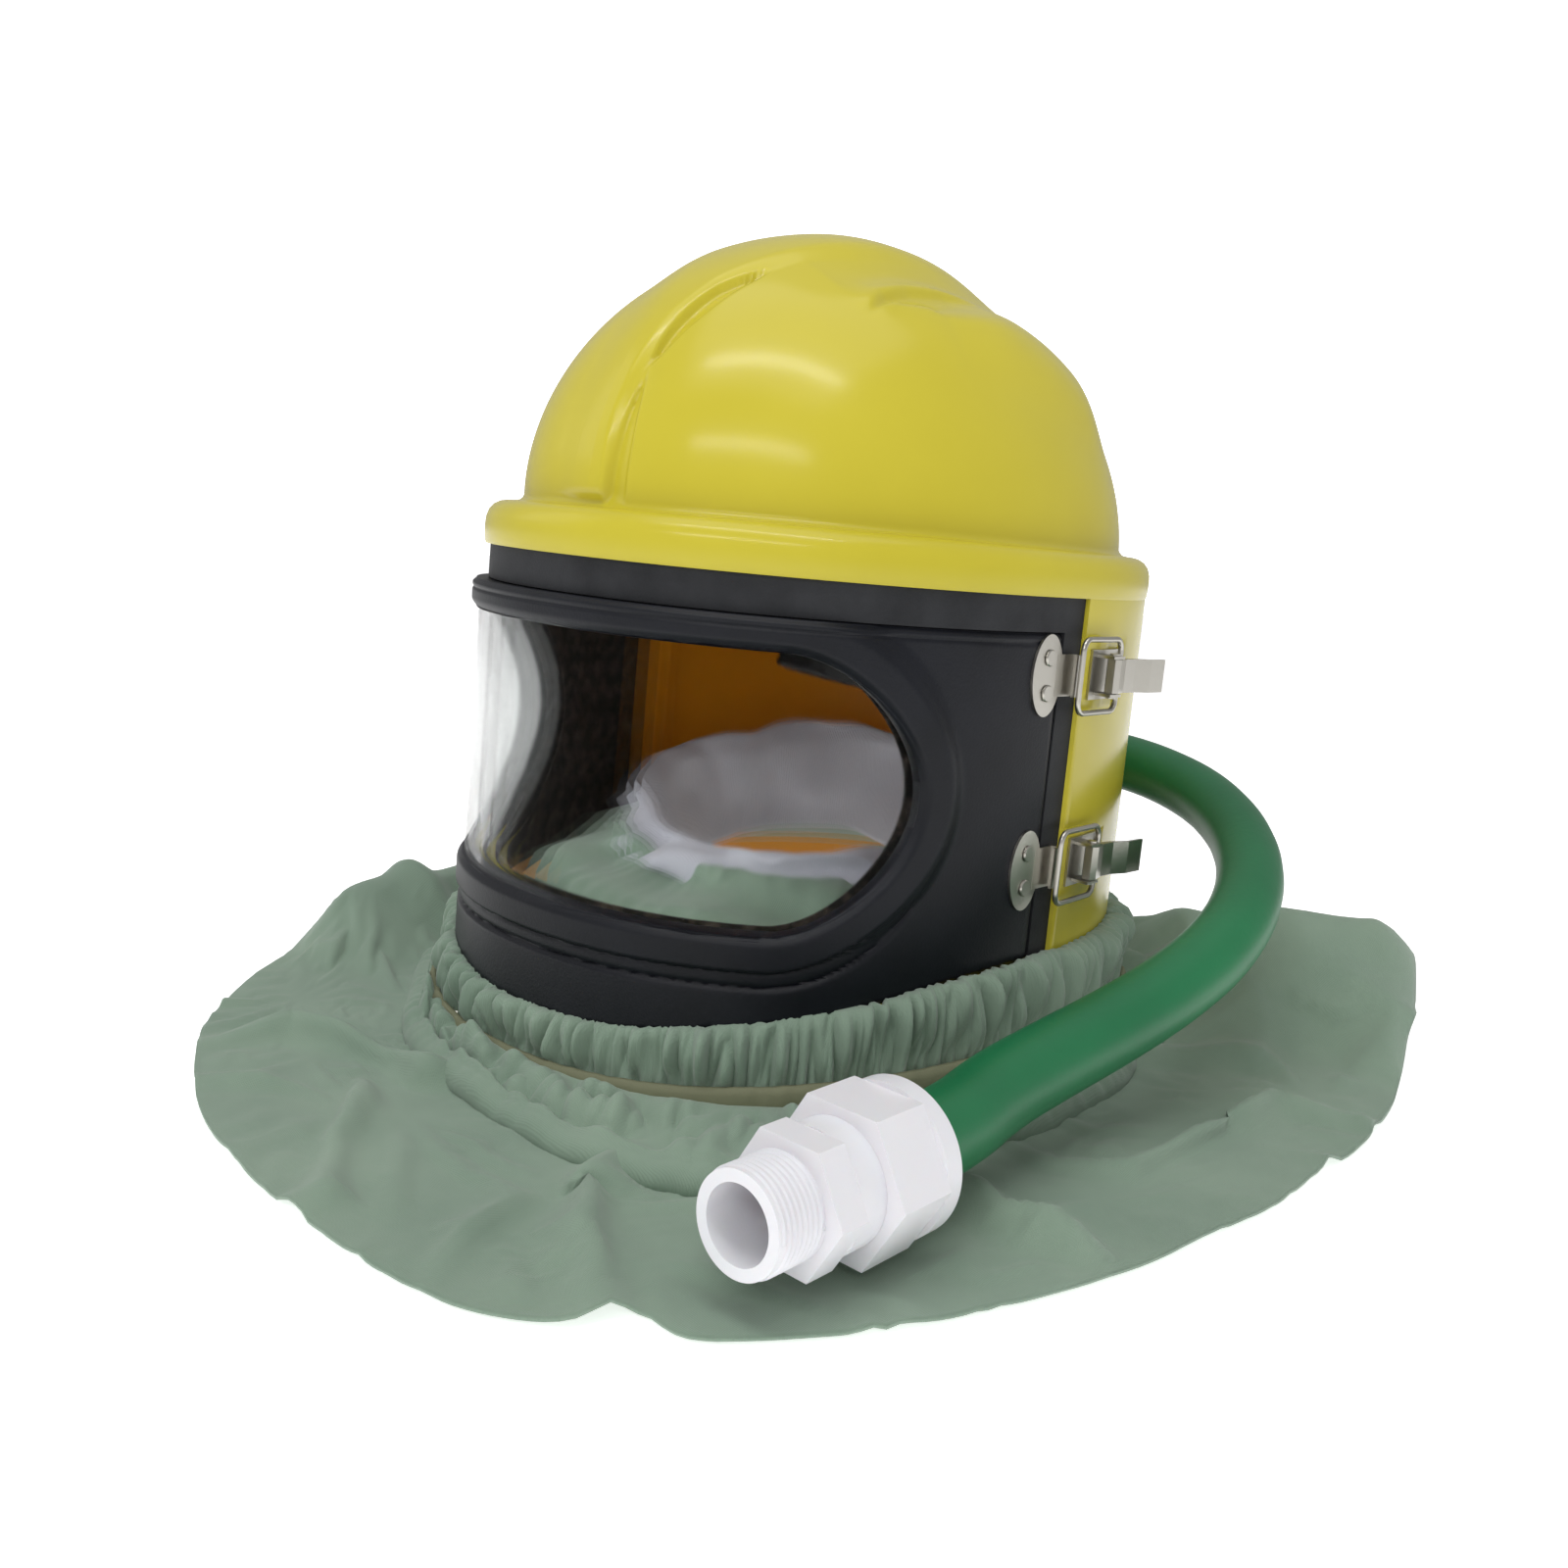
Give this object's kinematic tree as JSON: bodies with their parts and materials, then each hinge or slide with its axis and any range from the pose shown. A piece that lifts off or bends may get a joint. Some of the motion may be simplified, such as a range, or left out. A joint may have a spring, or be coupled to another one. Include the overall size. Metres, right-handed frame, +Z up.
{
  "type": "powered air respirator",
  "caption": "Air-fed hood helmet: moulded shell, hinged wrap-round window with draw latches, head harness, supply hose with threaded fitting and a cloth cape.",
  "frame": {"origin": "on the floor under the middle of the object as it stands, which is the middle of the shell's plan", "axes": "+Z up, the window looks along -Y, +X is the wearer's left, the side with the latches"},
  "size_m": [0.53, 0.5967, 0.3663],
  "materials": {
    "shell_yellow": "glossy moulded shell, lemon yellow outside",
    "gasket_rubber": "matt moulded rubber",
    "frame_rubber": "satin moulded rubber frame",
    "lens_clear": "clear polished acrylic",
    "steel": "pressed stainless sheet and wire",
    "harness_plastic": "moulded nylon",
    "vinyl_black": "shiny black vinyl over foam",
    "webbing": "woven webbing",
    "fitting_white": "white moulded nylon",
    "foam_grey": "open-cell foam",
    "hose_green": "smooth green rubber hose",
    "cape_cloth": "grey-green woven cotton",
    "tape_olive": "olive binding tape",
    "cuff_cloth": "soft pale knit"
  },
  "bodies": {
    "helmet": {"helmet_shell": "shell_yellow", "window_gasket": "gasket_rubber", "upper_hinge_fixed_leaf": "steel", "lower_hinge_fixed_leaf": "steel", "hinge_pins": "steel", "fixed_leaf_rivets": "steel", "upper_latch_base": "steel", "lower_latch_base": "steel", "lever_pins": "steel", "latch_base_rivets": "steel", "headband": "harness_plastic", "brow_pad": "vinyl_black", "nape_pad": "vinyl_black", "side_crown_strap": "webbing", "long_crown_strap": "webbing", "ratchet_housing": "harness_plastic", "suspension_arms": "harness_plastic", "inlet_flange": "harness_plastic", "inlet_gasket": "gasket_rubber", "inlet_elbow": "fitting_white", "inlet_screws": "steel", "air_duct": "harness_plastic", "silencer_foam": "foam_grey", "breathing_hose": "hose_green", "hose_clamp": "steel", "fitting_body": "fitting_white", "fitting_nut": "fitting_white", "neck_ruffle": "cape_cloth", "neck_tape": "tape_olive", "cape": "cape_cloth", "inner_bib": "cape_cloth", "inner_cuff": "cuff_cloth"},
    "window_door": {"window_frame": "frame_rubber", "outer_lens": "lens_clear", "inner_lens": "lens_clear", "upper_hinge_door_leaf": "steel", "lower_hinge_door_leaf": "steel", "door_leaf_rivets": "steel", "upper_strike_plate": "steel", "lower_strike_plate": "steel", "strike_rivets": "steel"},
    "upper_lever": {"upper_latch_lever": "steel"},
    "lower_lever": {"lower_latch_lever": "steel"},
    "upper_bail": {"upper_latch_bail": "steel"},
    "lower_bail": {"lower_latch_bail": "steel"},
    "nape_knob": {"ratchet_knob": "harness_plastic"}
  },
  "joints": [
    {"name": "window_hinge", "type": "hinge", "parent": "helmet", "child": "window_door", "pos_m": [-0.148, -0.012, 0.142], "axis": [0, 0, -1], "range_deg": [0, 100]},
    {"name": "upper_lever_pivot", "type": "hinge", "parent": "helmet", "child": "upper_lever", "pos_m": [0.1435, 0.029, 0.184], "axis": [0, 0, -1], "range_deg": [0, 110]},
    {"name": "upper_bail_pivot", "type": "hinge", "parent": "upper_lever", "child": "upper_bail", "pos_m": [0.1417, 0.037, 0.184], "axis": [0, 0, -1], "range_deg": [-121, 0]},
    {"name": "lower_lever_pivot", "type": "hinge", "parent": "helmet", "child": "lower_lever", "pos_m": [0.1435, 0.029, 0.1], "axis": [0, 0, -1], "range_deg": [0, 110]},
    {"name": "lower_bail_pivot", "type": "hinge", "parent": "lower_lever", "child": "lower_bail", "pos_m": [0.1417, 0.037, 0.1], "axis": [0, 0, -1], "range_deg": [-121, 0]},
    {"name": "nape_knob_turn", "type": "hinge", "parent": "helmet", "child": "nape_knob", "pos_m": [0, 0.10994, 0.17259], "axis": [0, 0.9703, -0.2419], "continuous": true}
  ],
  "couplings": [
    {"joint": "upper_bail_pivot", "follows": "upper_lever_pivot", "ratio": -1.1},
    {"joint": "lower_bail_pivot", "follows": "lower_lever_pivot", "ratio": -1.1}
  ]
}
